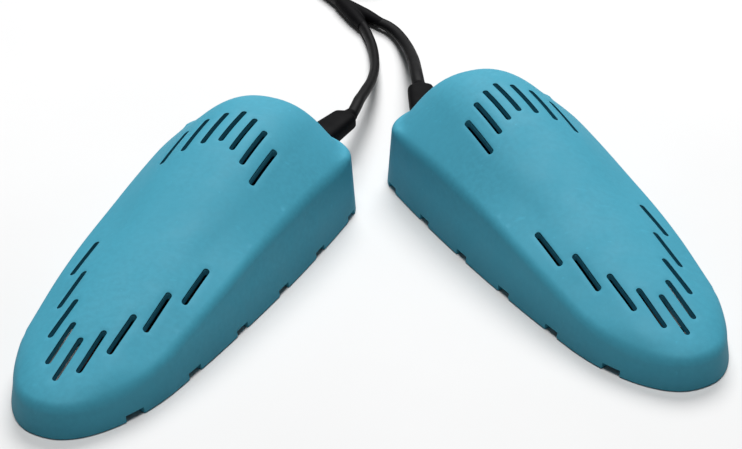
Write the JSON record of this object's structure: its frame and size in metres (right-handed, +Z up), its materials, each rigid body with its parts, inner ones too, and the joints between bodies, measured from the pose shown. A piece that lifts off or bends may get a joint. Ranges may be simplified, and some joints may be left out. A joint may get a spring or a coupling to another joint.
{
  "type": "boot dryer",
  "caption": "Pair of shoe-shaped electric boot dryers with slotted shells on one forked mains lead, coiled and tied, with a two-pin plug.",
  "frame": {"origin": "on the resting surface, at the centre of the box around the two shells", "axes": "+Z up, +Y towards the cord, +X to the right when looking from the toes to the cord"},
  "size_m": [0.2057, 0.3804, 0.039],
  "materials": {
    "shell_plastic": "satin moulded",
    "cover_plastic": "satin moulded",
    "screw_steel": "zinc plated",
    "mica": "flaky sheet",
    "heater_metal": "satin extruded",
    "film": "glossy film",
    "spreader_metal": "mill finish sheet",
    "terminal_brass": "stamped",
    "wire_brown": "silicone sleeve",
    "wire_blue": "silicone sleeve",
    "fuse_sleeve": "shrunk sleeve",
    "clamp_plastic": "moulded nylon",
    "cord_jacket": "satin flexible jacket",
    "boot_rubber": "matte moulded",
    "tie_plastic": "matte strap",
    "plug_plastic": "fine grain moulded",
    "pin_metal": "nickel plated"
  },
  "bodies": {
    "cord": {"left_lead": "cord_jacket", "right_lead": "cord_jacket", "cord_splitter": "boot_rubber", "trunk_cord": "cord_jacket", "cord_coil": "cord_jacket", "coil_tie": "tie_plastic", "plug_tail": "cord_jacket", "plug_body": "plug_plastic", "plug_pins": "pin_metal"},
    "left_dryer": {"left_upper_shell": "shell_plastic", "left_lower_cover": "cover_plastic", "left_cover_screws": "screw_steel", "left_mica_sheet": "mica", "left_heater_core": "heater_metal", "left_heater_film": "film", "left_heat_spreader": "spreader_metal", "left_terminals": "terminal_brass", "left_live_wire": "wire_brown", "left_neutral_wire": "wire_blue", "left_fuse_wire": "wire_brown", "left_thermal_fuse": "fuse_sleeve", "left_cord_clamp": "clamp_plastic", "left_clamp_screws": "screw_steel", "left_cord_tail": "cord_jacket", "left_strain_relief": "boot_rubber"},
    "right_dryer": {"right_upper_shell": "shell_plastic", "right_lower_cover": "cover_plastic", "right_cover_screws": "screw_steel", "right_mica_sheet": "mica", "right_heater_core": "heater_metal", "right_heater_film": "film", "right_heat_spreader": "spreader_metal", "right_terminals": "terminal_brass", "right_live_wire": "wire_brown", "right_neutral_wire": "wire_blue", "right_fuse_wire": "wire_brown", "right_thermal_fuse": "fuse_sleeve", "right_cord_clamp": "clamp_plastic", "right_clamp_screws": "screw_steel", "right_cord_tail": "cord_jacket", "right_strain_relief": "boot_rubber"}
  },
  "joints": [
    {"name": "left_dryer_swing", "type": "hinge", "parent": "cord", "child": "left_dryer", "pos_m": [-0.00716, 0.07368, 0.016], "axis": [0, 0, 1], "range_deg": [-40, 6]},
    {"name": "right_dryer_swing", "type": "hinge", "parent": "cord", "child": "right_dryer", "pos_m": [0.01596, 0.09582, 0.016], "axis": [0, 0, 1], "range_deg": [-6, 40]}
  ]
}
